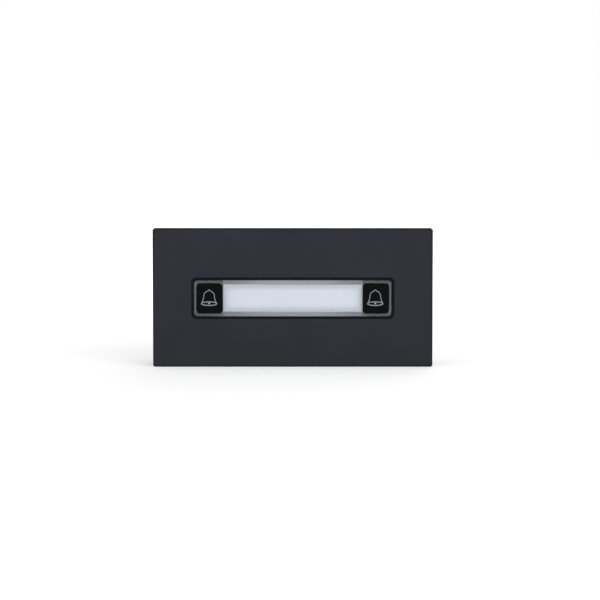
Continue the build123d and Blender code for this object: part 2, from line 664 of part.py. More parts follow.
def chip_passives():
    """Small resistors and capacitors, in as many rows as fit between the board's top and the controller."""
    body = slab(Rectangle(PASSIVE_LENGTH, PASSIVE_WIDTH), 0, PASSIVE_HEIGHT)
    solids = []
    for x in PASSIVE_COLUMNS:
        for z in PASSIVE_ROWS:
            for along in in_line(PASSIVE_COUNT, PASSIVE_PITCH):
                solids.append(on_board_back((x + along, z), body))
    return Compound(solids)


# Bus sockets


def bus_socket(side):
    """Shrouded header with a floor for its pins and two keyways in its upper wall."""
    shroud = slab(Rectangle(SOCKET_LENGTH, SOCKET_WIDTH), BOARD_BACK_Y, SOCKET_BACK_Y)
    mouth = Rectangle(SOCKET_LENGTH - 2 * SOCKET_WALL, SOCKET_WIDTH - 2 * SOCKET_WALL)
    floor_y = BOARD_BACK_Y + SOCKET_FLOOR
    shroud -= slab(mouth, floor_y, SOCKET_BACK_Y)
    for x in in_line(2, PIN_PITCH * (PIN_COUNT - 1)):
        keyway = Pos(x, SOCKET_WIDTH / 2 - SOCKET_WALL / 2) * Rectangle(SOCKET_KEYWAY, SOCKET_WALL)
        shroud -= slab(keyway, floor_y, SOCKET_BACK_Y)
    pins = at_each([(x, 0) for x in in_line(PIN_COUNT, PIN_PITCH)], Rectangle(PIN_WIDTH, PIN_WIDTH))
    shroud -= slab(pins, BOARD_BACK_Y, floor_y)
    return Pos(side * SOCKET_SPACING / 2, 0, SOCKET_Z) * shroud


def bus_pins(side):
    """Square pins from the front of the board to inside the socket, with pointed ends."""
    pins = []
    for x, z in pin_places(side):
        tip_y = BOARD_BACK_Y + SOCKET_FLOOR + PIN_LENGTH
        pin = slab(Rectangle(PIN_WIDTH, PIN_WIDTH), BOARD_FRONT_Y - PIN_TAIL, tip_y)
        pin = chamfer(back_edges(pin), PIN_POINT)
        pins.append(Pos(x, 0, z) * pin)
    return Compound(pins)


# Rear housing and fasteners


def corner_tower(x_side, z_side):
    """A screw column that runs into both walls of its corner and is rounded on its inner corner."""
    half = TOWER_RADIUS / 2
    column = Circle(TOWER_RADIUS)
    column += Pos(x_side * half, 0) * Rectangle(TOWER_RADIUS, 2 * TOWER_RADIUS)
    column += Pos(0, z_side * half) * Rectangle(2 * TOWER_RADIUS, TOWER_RADIUS)
    return Pos(x_side * TOWER_X, z_side * TOWER_Z) * column


def rear_housing():
    """A ring of walls that plugs into the plate's rim, with a screw tower in each corner."""
    walls = rounded(HOUSING_WIDTH, HOUSING_HEIGHT, HOUSING_CORNER)
    walls -= rounded(INNER_WIDTH, INNER_HEIGHT, HOUSING_CORNER - HOUSING_WALL)
    housing = slab(walls, HOUSING_FRONT_Y, COVER_FRONT_Y)
    for x_side, z_side in CORNERS:
        housing += slab(corner_tower(x_side, z_side), TOWER_FRONT_Y, TOWER_BACK_Y)
    shanks = at_each(TOWER_PLACES, Circle(HOUSING_SCREW_RADIUS + SCREW_HOLE_CLEARANCE))
    return housing - slab(shanks, TOWER_FRONT_Y, TOWER_BACK_Y) - cable_notch()


def back_cover():
    """The cover, with a boss in each tower, two bosses for threaded inserts and the socket well."""
    cover = slab(rounded(HOUSING_WIDTH, HOUSING_HEIGHT, HOUSING_CORNER), COVER_FRONT_Y, HOUSING_BACK_Y)
    cover = fillet(back_edges(cover), COVER_EDGE)
    cover += slab(at_each(TOWER_PLACES, Circle(TOWER_RADIUS - COVER_FIT)), TOWER_BACK_Y, COVER_FRONT_Y)
    boss_front = HOUSING_BACK_Y - INSERT_LENGTH - INSERT_FLOOR
    cover += slab(at_each(INSERT_PLACES, Circle(INSERT_BOSS_RADIUS)), boss_front, COVER_FRONT_Y)
    cover += slab(well_tub(), WELL_FRONT_Y, COVER_FRONT_Y)
    return cover - well_space() - cable_notch() - cover_holes()


def well_tub():
    """The walls of the socket well, which run down to the housing's lower wall."""
    tub = Pos(0, SOCKET_Z) * rounded(WELL_LENGTH, WELL_HEIGHT, WELL_CORNER, WELL_WALL)
    skirt_height = SOCKET_Z + INNER_HEIGHT / 2 - COVER_FIT
    skirt = Rectangle(WELL_LENGTH + 2 * WELL_WALL, skirt_height)
    return tub + Pos(0, SOCKET_Z - skirt_height / 2) * skirt


def well_space():
    """The well and its windows for the sockets."""
    well = Pos(0, SOCKET_Z) * rounded(WELL_LENGTH, WELL_HEIGHT, WELL_CORNER)
    window = Rectangle(SOCKET_LENGTH + 2 * SOCKET_WINDOW_GAP, SOCKET_WIDTH + 2 * SOCKET_WINDOW_GAP)
    windows = at_each([(x_side * SOCKET_SPACING / 2, SOCKET_Z) for x_side in SIDES.values()], window)
    return slab(well, WELL_BACK_Y, HOUSING_BACK_Y) + slab(windows, WELL_FRONT_Y, WELL_BACK_Y)


def cable_notch():
    """The way through which the bus cables leave the well downwards."""
    height = SOCKET_Z + HOUSING_HEIGHT / 2
    notch = Pos(0, SOCKET_Z - height / 2) * Rectangle(NOTCH_WIDTH, height)
    return slab(notch, HOUSING_BACK_Y - NOTCH_DEPTH, HOUSING_BACK_Y)


def cover_holes():
    """Screw holes, sunk for the heads, and blind holes for the inserts."""
    shanks = at_each(TOWER_PLACES, Circle(HOUSING_SCREW_RADIUS + SCREW_HOLE_CLEARANCE))
    heads = at_each(TOWER_PLACES, Circle(HOUSING_SCREW_HEAD_RADIUS + HEAD_CLEARANCE))
    inserts = at_each(INSERT_PLACES, Circle(INSERT_RADIUS + THREAD_FIT))
    holes = slab(shanks, TOWER_BACK_Y, SCREW_SEAT_Y) + slab(heads, SCREW_SEAT_Y, HOUSING_BACK_Y)
    return holes + slab(inserts, HOUSING_BACK_Y - INSERT_LENGTH, HOUSING_BACK_Y)


def housing_gasket():
    outer = rounded(HOUSING_WIDTH, HOUSING_HEIGHT, HOUSING_CORNER, -GASKET_INSET)
    inner_corner = HOUSING_CORNER - HOUSING_WALL
    inner = RectangleRounded(
        HOUSING_WIDTH - 2 * (GASKET_INSET + GASKET_WIDTH),
        HOUSING_HEIGHT - 2 * (GASKET_INSET + GASKET_WIDTH),
        inner_corner,
    )
    return slab(outer - inner, FACE_BACK_Y, HOUSING_FRONT_Y)


def pan_screw(radius, length, head_radius, head_height):
    """A pan-head screw that points forwards, with its head's seat at y = 0 and a crossed recess."""
    head = slab(Circle(head_radius), 0, head_height)
    head = chamfer(back_edges(head), SCREW_HEAD_CHAMFER)
    shank = slab(Circle(radius), -length, 0)
    recess = Rectangle(RECESS_SPAN, RECESS_WIDTH) + Rectangle(RECESS_WIDTH, RECESS_SPAN)
    return head + shank - slab(recess, head_height - RECESS_DEPTH, head_height)


def housing_screws():
    length = SCREW_SEAT_Y - TOWER_FRONT_Y + HOUSING_SCREW_BITE
    screw = pan_screw(
        HOUSING_SCREW_RADIUS, length, HOUSING_SCREW_HEAD_RADIUS, HOUSING_SCREW_HEAD_HEIGHT
    )
    return Compound([Pos(x, SCREW_SEAT_Y, z) * screw for x, z in TOWER_PLACES])


def board_screws():
    screw = pan_screw(
        BOARD_SCREW_RADIUS, BOARD_SCREW_LENGTH, BOARD_SCREW_HEAD_RADIUS, BOARD_SCREW_HEAD_HEIGHT
    )
    return Compound([Pos(x, BOARD_BACK_Y, z) * screw for x, z in BOARD_SCREW_PLACES])


def threaded_inserts():
    """Brass sleeves for the screws of the door-station frame, with a groove that holds them in."""
    front = HOUSING_BACK_Y - INSERT_LENGTH
    land = (INSERT_LENGTH - INSERT_GROOVE_LENGTH) / 2
    sleeve = slab(Circle(INSERT_RADIUS), front, HOUSING_BACK_Y)
    groove = Circle(INSERT_RADIUS) - Circle(INSERT_RADIUS - INSERT_GROOVE)
    sleeve -= slab(groove, front + land, HOUSING_BACK_Y - land)
    sleeve -= slab(Circle(INSERT_BORE), front, HOUSING_BACK_Y)
    return Compound([Pos(x, 0, z) * sleeve for x, z in INSERT_PLACES])


def all_pieces():
    pieces = {
        "front_plate": front_plate(),
        "lens_seal": TO_STRIP * lens_seal(),
        "nameplate_lens": TO_STRIP * nameplate_lens(),
        "name_label": TO_STRIP * name_label(),
        "label_diffuser": TO_STRIP * label_diffuser(),
        "seal_membrane": TO_STRIP * seal_membrane(),
        "light_box": light_box(),
        "backlight_leds": TO_STRIP * backlight_leds(),
        "switch_terminals": TO_STRIP * switch_terminals(),
        "circuit_board": circuit_board(),
        "board_screws": board_screws(),
        "controller_chip": chip_body(CONTROLLER),
        "bus_transceiver": chip_body(TRANSCEIVER),
        "voltage_regulator": chip_body(REGULATOR),
        "chip_leads": chip_leads(),
        "power_inductor": power_inductor(),
        "input_capacitor": input_capacitor(),
        "surge_diode": surge_diode(),
        "crystal": crystal(),
        "chip_passives": chip_passives(),
        "bus_in_socket": bus_socket(SIDES["left"]),
        "bus_out_socket": bus_socket(SIDES["right"]),
        "bus_in_pins": bus_pins(SIDES["left"]),
        "bus_out_pins": bus_pins(SIDES["right"]),
        "rear_housing": rear_housing(),
        "back_cover": back_cover(),
        "housing_gasket": housing_gasket(),
        "housing_screws": housing_screws(),
        "threaded_inserts": threaded_inserts(),
    }
    for name, side in SIDES.items():
        pieces[f"key_cap_{name}"] = TO_STRIP * key_cap(side)
        pieces[f"switch_base_{name}"] = TO_STRIP * switch_base(side)
        pieces[f"switch_cover_{name}"] = TO_STRIP * switch_cover(side)
        pieces[f"switch_plunger_{name}"] = TO_STRIP * switch_plunger(side)
        pieces[f"switch_dome_{name}"] = TO_STRIP * switch_dome(side)
    return pieces


os.makedirs("parts", exist_ok=True)
for piece_name, piece in all_pieces().items():
    export_step(piece, f"parts/{piece_name}.step")
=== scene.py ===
"""Looks of the intercom button module: a finish for every node, the clear name strip, bell prints on the
keys, cross-head screws and knurled inserts on the back, and a pale floor, soft lamps and the camera."""

import json
import math

import bpy
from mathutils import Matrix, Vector

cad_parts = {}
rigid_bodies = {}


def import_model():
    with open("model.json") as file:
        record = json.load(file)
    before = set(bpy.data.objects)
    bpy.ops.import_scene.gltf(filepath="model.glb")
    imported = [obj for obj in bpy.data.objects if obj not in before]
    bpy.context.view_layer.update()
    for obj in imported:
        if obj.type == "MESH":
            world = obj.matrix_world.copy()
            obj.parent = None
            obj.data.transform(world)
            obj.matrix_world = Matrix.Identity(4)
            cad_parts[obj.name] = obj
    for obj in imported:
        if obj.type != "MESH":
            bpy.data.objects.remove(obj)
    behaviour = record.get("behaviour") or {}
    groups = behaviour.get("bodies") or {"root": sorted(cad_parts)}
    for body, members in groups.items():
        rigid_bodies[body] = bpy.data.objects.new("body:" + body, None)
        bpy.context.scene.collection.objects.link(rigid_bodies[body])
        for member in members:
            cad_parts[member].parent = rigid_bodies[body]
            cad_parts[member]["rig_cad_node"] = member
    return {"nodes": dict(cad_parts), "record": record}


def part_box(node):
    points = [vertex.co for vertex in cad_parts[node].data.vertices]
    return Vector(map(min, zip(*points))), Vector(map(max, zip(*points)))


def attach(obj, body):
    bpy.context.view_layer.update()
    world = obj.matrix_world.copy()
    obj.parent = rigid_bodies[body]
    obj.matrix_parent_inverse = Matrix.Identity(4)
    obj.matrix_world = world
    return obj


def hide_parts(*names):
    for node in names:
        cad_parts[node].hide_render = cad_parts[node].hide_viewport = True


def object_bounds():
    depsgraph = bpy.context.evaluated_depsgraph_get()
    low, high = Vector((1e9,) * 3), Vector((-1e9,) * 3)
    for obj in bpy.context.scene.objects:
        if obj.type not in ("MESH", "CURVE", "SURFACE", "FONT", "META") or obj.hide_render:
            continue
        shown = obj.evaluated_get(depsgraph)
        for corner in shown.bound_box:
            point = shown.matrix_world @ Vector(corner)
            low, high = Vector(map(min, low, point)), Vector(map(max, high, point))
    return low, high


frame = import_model()
cad_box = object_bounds()
nodes = frame["nodes"]

MM = 0.001

# Camera, nearly square to the front face
LENS_LENGTH = 135.0
SENSOR_WIDTH = 36.0
CAMERA_RISE = math.radians(5.0)
CAMERA_NEAREST = 10 * MM
VIEW_WIDTH = 244.2 * MM
VIEW_CENTRE_X = 2.955 * MM
VIEW_CENTRE_Z = -0.86 * MM

# Bell print, in millimetres from its own middle, which lies a little off the key's centre
BELL_OFFSET_X = -0.235
BELL_OFFSET_Z = 0.35
BELL_CROWN = 3.15
BELL_SIDE = ((0.52, 2.74), (1.6, 2.05), (2.09, 1.15), (2.21, 0.05), (2.48, -0.95), (2.93, -2.1))
BODY_STROKE = 0.34
MOUTH_STROKE = 0.42
MOUTH_DROP = 2.46
MOUTH_HALF_WIDTH = 3.12
MOUTH_HALF_HEIGHT = 0.74
CLAPPER_RADIUS = 0.45
CLAPPER_ROUNDING = CLAPPER_RADIUS / 3
CLAPPER_DROP = 2.33
PRINT_HEIGHT = 0.03

# Housing screws
HEAD_RADIUS = 2.75 * MM
HEAD_HEIGHT = 2.0 * MM
HEAD_ROUNDING = 0.85 * MM
SHANK_RADIUS = 1.5 * MM
RECESS_ARM = 1.55 * MM
RECESS_WIDTH = 0.62 * MM
RECESS_DEPTH = 1.1 * MM
RECESS_TAPER = 0.45
THREAD_PITCH = 1.0 * MM
THREAD_DEPTH = 0.3 * MM

# Knurled inserts
INSERT_RADIUS = 2.3 * MM
INSERT_BORE_RADIUS = 1.25 * MM
KNURL_TEETH = 36
KNURL_DEPTH = 0.12 * MM
INSERT_PITCH = 0.5 * MM
INSERT_GROOVE = 0.16 * MM

# Fineness of the round forms, and the steepest edges that are still shaded smooth
STROKE_STEPS = 10
STROKE_ROUNDNESS = 3
CLAPPER_SIDES = 28
CLAPPER_ROUNDING_STEPS = 3
HEAD_SIDES = 40
HEAD_ROUNDING_STEPS = 6
METAL_SMOOTH_ANGLE = math.radians(35.0)
PRINT_SMOOTH_ANGLE = math.radians(50.0)
STRIP_SMOOTH_ANGLE = math.radians(30.0)

# How near counts as the same place, and how much of a face's normal lies along z on a level face
SLIVER = 0.02 * MM
MERGE_GAP = SLIVER / 10
LEVEL_FACE = 0.9

# Clear strip: air left at its seats, and how far past a key's outline its seat reaches
STRIP_AIR = 0.05 * MM
STRIP_REACH = 0.17 * MM

# Its index is below acrylic's own, so that the narrow rims show little of the white surroundings
STRIP_CLARITY = 0.97
STRIP_INDEX = 1.1
STRIP_COAT_ROUGHNESS = 0.4
# The faint painted glow of the strip itself
STRIP_LIGHT = 0.015

# Lit label: its painted glow, and the shares of it that are left at the label's ends and, as painted
# shade, close beside the keys
LABEL_LIGHT = 0.211
LABEL_END_SHARE = 0.75
LABEL_KEY_SHADE_SHARE = 0.35

# How far from its edges that glow begins to fade, and the band of painted shade beside each key
LABEL_FADE_X = 11.0 * MM
LABEL_FADE_Z = 3.3 * MM
LABEL_KEY_SHADE_BAND = 3.4 * MM

# Opal plate behind the label
OPAL_LIGHT = 0.8

# Silicone sheet: its painted glow at the label's middle and ends, and the gain along the sheet's own
# middle
SILICONE_LIGHT = 0.226
SILICONE_END_LIGHT = 0.121
SILICONE_MIDDLE_GAIN = 1.5

# How far from the label's ends and from the sheet's edges that light begins to fade, how far past the
# label's ends the fading stops, and the share that is left there
SILICONE_FADE_X = 20.0 * MM
SILICONE_FADE_Z = 5.4 * MM
SILICONE_REACH = 4.0 * MM
SILICONE_FAR_SHARE = 0.05

# Plate: the band along its outer edges where painted shade darkens the coat, and the wide one where its
# hue is neutral
PLATE_EDGE_SHADE_BAND = 1.0 * MM
PLATE_SIDE_BAND = 30.0 * MM

# Bare metal: the size of its fine lines and how they are drawn out, and the height they stand up
METAL_LINE_SIZE = 0.6 * MM
METAL_LINE_STRETCH = (1, 8, 1)
METAL_LINE_HEIGHT = 0.004 * MM

# The world's light on the object
WORLD_FILL = 0.55

# Floor: its size, and how much whiter it is to look at than by its own light, near the object and far off
FLOOR_SIZE = 6.0
FLOOR_LIFT_NEAR = 0.36
FLOOR_LIFT_FAR = 0.75
FLOOR_NEAR = 0.08
FLOOR_FAR = 0.4

WHITE = (1.0, 1.0, 1.0, 1.0)
SELECT_MODES = {"vertices": "VERT", "edges": "EDGE", "polygons": "FACE"}


# Working on meshes

def deselect_all():
    """Leaves nothing selected."""
    bpy.ops.object.select_all(action="DESELECT")


def select_only(piece):
    """Leaves one piece selected and active."""
    deselect_all()
    piece.select_set(True)
    bpy.context.view_layer.objects.active = piece


def enter_edit():
    """Goes into edit mode on the active piece."""
    bpy.ops.object.mode_set(mode="EDIT")


def leave_edit():
    """Goes back to object mode, which writes the edit into the mesh."""
    bpy.ops.object.mode_set(mode="OBJECT")


def pick(piece, kind, test):
    """Goes into edit mode with those vertices, edges or faces selected that pass the test."""
    select_only(piece)
    enter_edit()
    bpy.ops.mesh.select_mode(type=SELECT_MODES[kind])
    bpy.ops.mesh.select_all(action="DESELECT")
    leave_edit()
    for item in getattr(piece.data, kind):
        item.select = test(item)
    enter_edit()


def merge_doubles(piece):
    """Goes into edit mode with all selected and merges the vertices that lie on each other."""
    select_only(piece)
    enter_edit()
    bpy.ops.mesh.select_all(action="SELECT")
    bpy.ops.mesh.remove_doubles(threshold=MERGE_GAP)


def scale_picked(share):
    """Scales what is selected in edit mode towards or away from the z axis."""
    bpy.ops.transform.resize(value=(share, share, 1), center_override=(0, 0, 0))


def radius_of(vertex):
    """How far a vertex lies from the z axis."""
    return math.hypot(vertex.co.x, vertex.co.y)


def heights_of(piece, edge):
    """The heights of an edge's two ends, the lower first."""
    return sorted(piece.data.vertices[i].co.z for i in edge.vertices)


def apply_place(piece):
    """Puts the piece's place, turn and scale into its mesh."""
    select_only(piece)
    bpy.ops.object.transform_apply(location=True, rotation=True, scale=True)


def new_cylinder(sides, radius, low, high):
    """A closed cylinder along z between two heights, to be shaped further."""
    deselect_all()
    bpy.ops.mesh.primitive_cylinder_add(
        vertices=sides, radius=radius, depth=high - low, location=(0, 0, (low + high) / 2)
    )
    piece = bpy.context.object
    apply_place(piece)
    return piece


def settle(piece, smooth_angle):
    """Finishes a mesh: place applied, doubles merged, faces outwards, smooth only where it is round."""
    apply_place(piece)
    merge_doubles(piece)
    bpy.ops.mesh.normals_make_consistent(inside=False)
    leave_edit()
    bpy.ops.object.shade_smooth_by_angle(angle=smooth_angle)
    weighted = piece.modifiers.new("flat_faces_first", "WEIGHTED_NORMAL")
    weighted.keep_sharp = True
    bpy.ops.object.modifier_apply(modifier=weighted.name)


def join(pieces, name):
    """Makes one piece of several and names it."""
    deselect_all()
    for piece in pieces:
        piece.select_set(True)
    bpy.context.view_layer.objects.active = pieces[0]
    bpy.ops.object.join()
    bpy.context.object.name = name
    return bpy.context.object


def copies_at(pattern, places):
    """Copies of a pattern, each with its own mesh, at the places. The pattern itself goes."""
    copies = []
    for place in places:
        select_only(pattern)
        bpy.ops.object.duplicate(linked=False)
        bpy.context.object.location = place
        copies.append(bpy.context.object)
    bpy.data.objects.remove(pattern)
    return copies


def face_backwards(piece):
    """Turns a piece that was made along z so that its top faces the back, along +Y."""
    piece.rotation_euler = (-math.pi / 2, 0, 0)
    apply_place(piece)


def ring_grooves(piece, low, high, pitch, change):
    """Divides the innermost wall between two heights and moves every other ring by the change."""
    ring_count = 2 * round((high - low) / pitch)
    step = (high - low) / ring_count
    wall = min(radius_of(v) for v in piece.data.vertices if abs(v.co.z - low) < SLIVER)

    def runs_between(edge):
        bottom, top = heights_of(piece, edge)
        inner = all(radius_of(piece.data.vertices[i]) < wall + SLIVER for i in edge.vertices)
        return inner and bottom < low + SLIVER and top > high - SLIVER

    def on_every_other_ring(vertex):
        on_wall = radius_of(vertex) < wall + SLIVER
        between = low + SLIVER < vertex.co.z < high - SLIVER
        return on_wall and between and round((vertex.co.z - low) / step) % 2 == 1

    pick(piece, "edges", runs_between)
    bpy.ops.mesh.subdivide(number_cuts=ring_count - 1)
    leave_edit()
    pick(piece, "vertices", on_every_other_ring)
    scale_picked((wall + change) / wall)
    leave_edit()


# Bell prints

def stroke_mesh(curve, stroke):
    """Gives a curve a printed stroke and turns it into a mesh."""
    curve.data.dimensions = "3D"
    curve.data.resolution_u = STROKE_STEPS
    curve.data.bevel_depth = stroke / 2 * MM
    curve.data.bevel_resolution = STROKE_ROUNDNESS
    curve.data.use_fill_caps = True
    select_only(curve)
    bpy.ops.object.convert(target="MESH")
    return bpy.context.object


def bell_body():
    """The bell's outline from one lip over the crown to the other."""
    deselect_all()
    bpy.ops.curve.primitive_bezier_curve_add()
    curve = bpy.context.object
    left_side = [(-x, z) for x, z in reversed(BELL_SIDE)]
    points = [*left_side, (0.0, BELL_CROWN), *BELL_SIDE]
    knots = curve.data.splines[0].bezier_points
    knots.add(len(points) - len(knots))
    for knot, (x, z) in zip(knots, points):
        knot.co = (x * MM, 0.0, z * MM)
        knot.handle_left_type = "AUTO"
        knot.handle_right_type = "AUTO"
    return stroke_mesh(curve, BODY_STROKE)


def bell_mouth():
    """The flat ellipse at the bell's foot."""
    deselect_all()
    bpy.ops.curve.primitive_bezier_circle_add(radius=MM)
    curve = bpy.context.object
    curve.scale = (MOUTH_HALF_WIDTH, MOUTH_HALF_HEIGHT, 1.0)
    curve.data.dimensions = "3D"
    apply_place(curve)
    # The scale also went into the stroke's width
    for knot in curve.data.splines[0].bezier_points:
        knot.radius = 1.0
    curve.rotation_euler.x = math.pi / 2
    curve.location.z = -MOUTH_DROP * MM
    mouth = stroke_mesh(curve, MOUTH_STROKE)
    apply_place(mouth)
    return mouth


def bell_clapper():
    """A low dome in the middle of the mouth."""
    half = MOUTH_STROKE / 2 * MM
    clapper = new_cylinder(CLAPPER_SIDES, CLAPPER_RADIUS * MM, -half, half)
    pick(clapper, "edges", lambda edge: len(set(heights_of(clapper, edge))) == 1)
    bpy.ops.mesh.bevel(offset=CLAPPER_ROUNDING * MM, segments=CLAPPER_ROUNDING_STEPS)
    leave_edit()
    face_backwards(clapper)
    clapper.location.z = -CLAPPER_DROP * MM
    apply_place(clapper)
    return clapper


def bell_print(side):
    """The bell on one key, a little proud of the key's front face."""
    low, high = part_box("key_cap_" + side)
    bell = join([bell_body(), bell_mouth(), bell_clapper()], "bell_" + side)
    apply_place(bell)
    bell.scale.y = 2 * PRINT_HEIGHT / MOUTH_STROKE
    middle = (low + high) / 2
    bell.location = (middle.x + BELL_OFFSET_X * MM, low.y, middle.z + BELL_OFFSET_Z * MM)
    settle(bell, PRINT_SMOOTH_ANGLE)
    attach(bell, side + "_key")
    return bell


# Clear strip

def clear_name_strip():
    """The clear strip with a hair of air at its seats, so that light passes cleanly behind it."""
    select_only(nodes["nameplate_lens"])
    bpy.ops.object.duplicate(linked=False)
    strip = bpy.context.object
    strip.parent = None
    strip.name = "clear_name_strip"
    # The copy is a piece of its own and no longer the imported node
    del strip["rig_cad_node"]
    merge_doubles(strip)
    leave_edit()
    key_low, key_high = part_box("key_cap_right")
    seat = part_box("lens_seal")[1].y
    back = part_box("nameplate_lens")[1].y

    def at_key(vertex):
        beside = key_low.x - STRIP_REACH < abs(vertex.co.x) < key_high.x + STRIP_REACH
        return beside and key_low.z - STRIP_REACH < vertex.co.z < key_high.z + STRIP_REACH

    def on_key_seat(vertex):
        return abs(vertex.co.y - seat) < SLIVER and at_key(vertex)

    def on_flange(vertex):
        return abs(vertex.co.y - seat) < SLIVER and not at_key(vertex)

    def on_back(vertex):
        return abs(vertex.co.y - back) < SLIVER

    for test, move in ((on_key_seat, -STRIP_AIR), (on_flange, STRIP_AIR), (on_back, -STRIP_AIR)):
        pick(strip, "vertices", test)
        bpy.ops.transform.translate(value=(0, move, 0))
        leave_edit()
    settle(strip, STRIP_SMOOTH_ANGLE)
    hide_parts("nameplate_lens")
    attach(strip, "module")
    return strip


# Screws and inserts on the back

def cross_cutter(top):
    """A plus-shaped block that narrows downwards, to sink a screw's recess with."""
    deselect_all()
    bpy.ops.mesh.primitive_cube_add(size=RECESS_WIDTH)
    cutter = bpy.context.object
    pick(cutter, "polygons", lambda face: abs(face.normal.z) < LEVEL_FACE)
    reach = RECESS_ARM - RECESS_WIDTH / 2
    bpy.ops.mesh.extrude_faces_move(TRANSFORM_OT_shrink_fatten={"value": reach})
    leave_edit()
    cutter.scale.z = 2 * RECESS_DEPTH / RECESS_WIDTH
    cutter.location.z = top
    apply_place(cutter)
    pick(cutter, "vertices", lambda vertex: vertex.co.z < top)
    scale_picked(RECESS_TAPER)
    leave_edit()
    return cutter


def cross_head_screw(head_radius, shank_length):
    """A pan-head screw facing the back, its head's seat at the origin."""
    screw = new_cylinder(HEAD_SIDES, head_radius, 0.0, HEAD_HEIGHT)
    pick(screw, "edges", lambda edge: heights_of(screw, edge)[0] > HEAD_HEIGHT - SLIVER)
    bpy.ops.mesh.bevel(offset=HEAD_ROUNDING, segments=HEAD_ROUNDING_STEPS)
    leave_edit()
    pick(screw, "polygons", lambda face: face.normal.z < -LEVEL_FACE)
    bpy.ops.mesh.inset(thickness=head_radius - SHANK_RADIUS)
    bpy.ops.mesh.extrude_region_move(TRANSFORM_OT_translate={"value": (0, 0, -shank_length)})
    leave_edit()
    ring_grooves(screw, -shank_length, 0.0, THREAD_PITCH, -THREAD_DEPTH)
    cutter = cross_cutter(HEAD_HEIGHT)
    select_only(screw)
    recess = screw.modifiers.new("recess", "BOOLEAN")
    recess.operation = "DIFFERENCE"
    recess.solver = "EXACT"
    recess.object = cutter
    bpy.ops.object.modifier_apply(modifier=recess.name)
    bpy.data.objects.remove(cutter)
    face_backwards(screw)
    return screw


def housing_screw_set():
    """Four cross-head screws in place of the plain ones."""
    low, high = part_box("housing_screws")
    seat = high.y - HEAD_HEIGHT
    pattern = cross_head_screw(HEAD_RADIUS, seat - low.y)
    columns = (low.x + HEAD_RADIUS, high.x - HEAD_RADIUS)
    rows = (low.z + HEAD_RADIUS, high.z - HEAD_RADIUS)
    places = [(x, seat, z) for x in columns for z in rows]
    screws = join(copies_at(pattern, places), "cross_head_screws")
    settle(screws, METAL_SMOOTH_ANGLE)
    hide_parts("housing_screws")
    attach(screws, "module")
    return screws


def knurled_insert(radius, length):
    """A toothed brass sleeve with a grooved bore facing the back, its outer face at the origin."""
    insert = new_cylinder(2 * KNURL_TEETH, radius, -length, 0.0)
    pick(insert, "polygons", lambda face: abs(face.normal.z) > LEVEL_FACE)
    bpy.ops.mesh.inset(thickness=radius - INSERT_BORE_RADIUS)
    bpy.ops.mesh.bridge_edge_loops()
    leave_edit()
    ring_grooves(insert, -length, 0.0, INSERT_PITCH, INSERT_GROOVE)
    tooth = math.pi / KNURL_TEETH

    def between_teeth(vertex):
        outside = radius_of(vertex) > radius - SLIVER
        return outside and round(math.atan2(vertex.co.y, vertex.co.x) / tooth) % 2 == 1

    pick(insert, "vertices", between_teeth)
    scale_picked(1 - KNURL_DEPTH / radius)
    leave_edit()
    face_backwards(insert)
    return insert


def insert_pair():
    """Two knurled inserts in place of the plain sleeves."""
    low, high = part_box("threaded_inserts")
    pattern = knurled_insert(INSERT_RADIUS, high.y - low.y)
    places = [(x, high.y, 0) for x in (low.x + INSERT_RADIUS, high.x - INSERT_RADIUS)]
    inserts = join(copies_at(pattern, places), "knurled_inserts")
    settle(inserts, METAL_SMOOTH_ANGLE)
    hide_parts("threaded_inserts")
    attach(inserts, "module")
    return inserts


# Parts of a finish

def new_finish(name, colour, roughness, specular=0.5, metallic=0.0):
    """A material with these values on its shader; gives the material, its nodes' tree and the shader."""
    material = bpy.data.materials.new(name)
    material.use_nodes = True
    shader = material.node_tree.nodes["Principled BSDF"]
    shader.inputs["Base Color"].default_value = (*colour, 1.0)
    shader.inputs["Roughness"].default_value = roughness
    shader.inputs["Specular IOR Level"].default_value = specular
    shader.inputs["Metallic"].default_value = metallic
    return material, material.node_tree, shader


def place_on_part(tree):
    """Where a point of the surface lies in its piece's own frame."""
    return tree.nodes.new("ShaderNodeTexCoord").outputs["Object"]


def grain(tree, size, detail=2.0, stretch=(1, 1, 1)):
    """Noise with blotches of about this size in metres."""
    mapping = tree.nodes.new("ShaderNodeMapping")
    mapping.inputs["Scale"].default_value = stretch
    noise = tree.nodes.new("ShaderNodeTexNoise")
    noise.inputs["Scale"].default_value = 1 / size
    noise.inputs["Detail"].default_value = detail
    tree.links.new(place_on_part(tree), mapping.inputs["Vector"])
    tree.links.new(mapping.outputs["Vector"], noise.inputs["Vector"])
    return noise.outputs["Fac"]


def spread(tree, source, low, high, start=0.3, stop=0.7):
    """The source, from start to stop, turned smoothly into low to high. Most of a grain lies between the
    usual start and stop."""
    ramp = tree.nodes.new("ShaderNodeMapRange")
    ramp.interpolation_type = "SMOOTHSTEP"
    for socket, value in (("From Min", start), ("From Max", stop), ("To Min", low), ("To Max", high)):
        ramp.inputs[socket].default_value = value
    tree.links.new(source, ramp.inputs["Value"])
    return ramp.outputs["Result"]


def combine(tree, operation, result, *others):
    """Number sources put together, one after the other, by a math operation."""
    for other in others:
        node = tree.nodes.new("ShaderNodeMath")
        node.operation = operation
        tree.links.new(result, node.inputs[0])
        tree.links.new(other, node.inputs[1])
        result = node.outputs["Value"]
    return result


